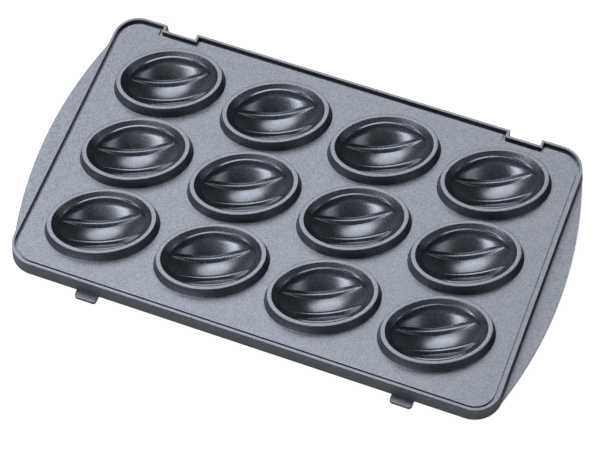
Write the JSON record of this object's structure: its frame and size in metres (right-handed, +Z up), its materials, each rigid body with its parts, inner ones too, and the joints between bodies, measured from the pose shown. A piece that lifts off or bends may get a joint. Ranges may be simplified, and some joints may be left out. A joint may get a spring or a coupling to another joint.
{
  "type": "snack maker mould plate",
  "caption": "Removable non-stick mould plate for a snack maker: a flat rimmed plate with raised oval cups, side ears, front lugs and rear notches.",
  "frame": {"origin": "on the surface that the plate lies on, under the middle of its outline", "axes": "+X along the long edge, +Y towards the edge with the two notches, +Z up out of the cups"},
  "size_m": [0.2444, 0.1422, 0.014],
  "materials": {
    "coated_cast": "dark grey speckled non-stick coating over die-cast aluminium"
  },
  "bodies": {
    "root": {"deck": "coated_cast", "rim": "coated_cast", "left_ear": "coated_cast", "right_ear": "coated_cast", "left_lug": "coated_cast", "right_lug": "coated_cast", "rear_cups": "coated_cast", "middle_cups": "coated_cast", "front_cups": "coated_cast"}
  },
  "joints": []
}
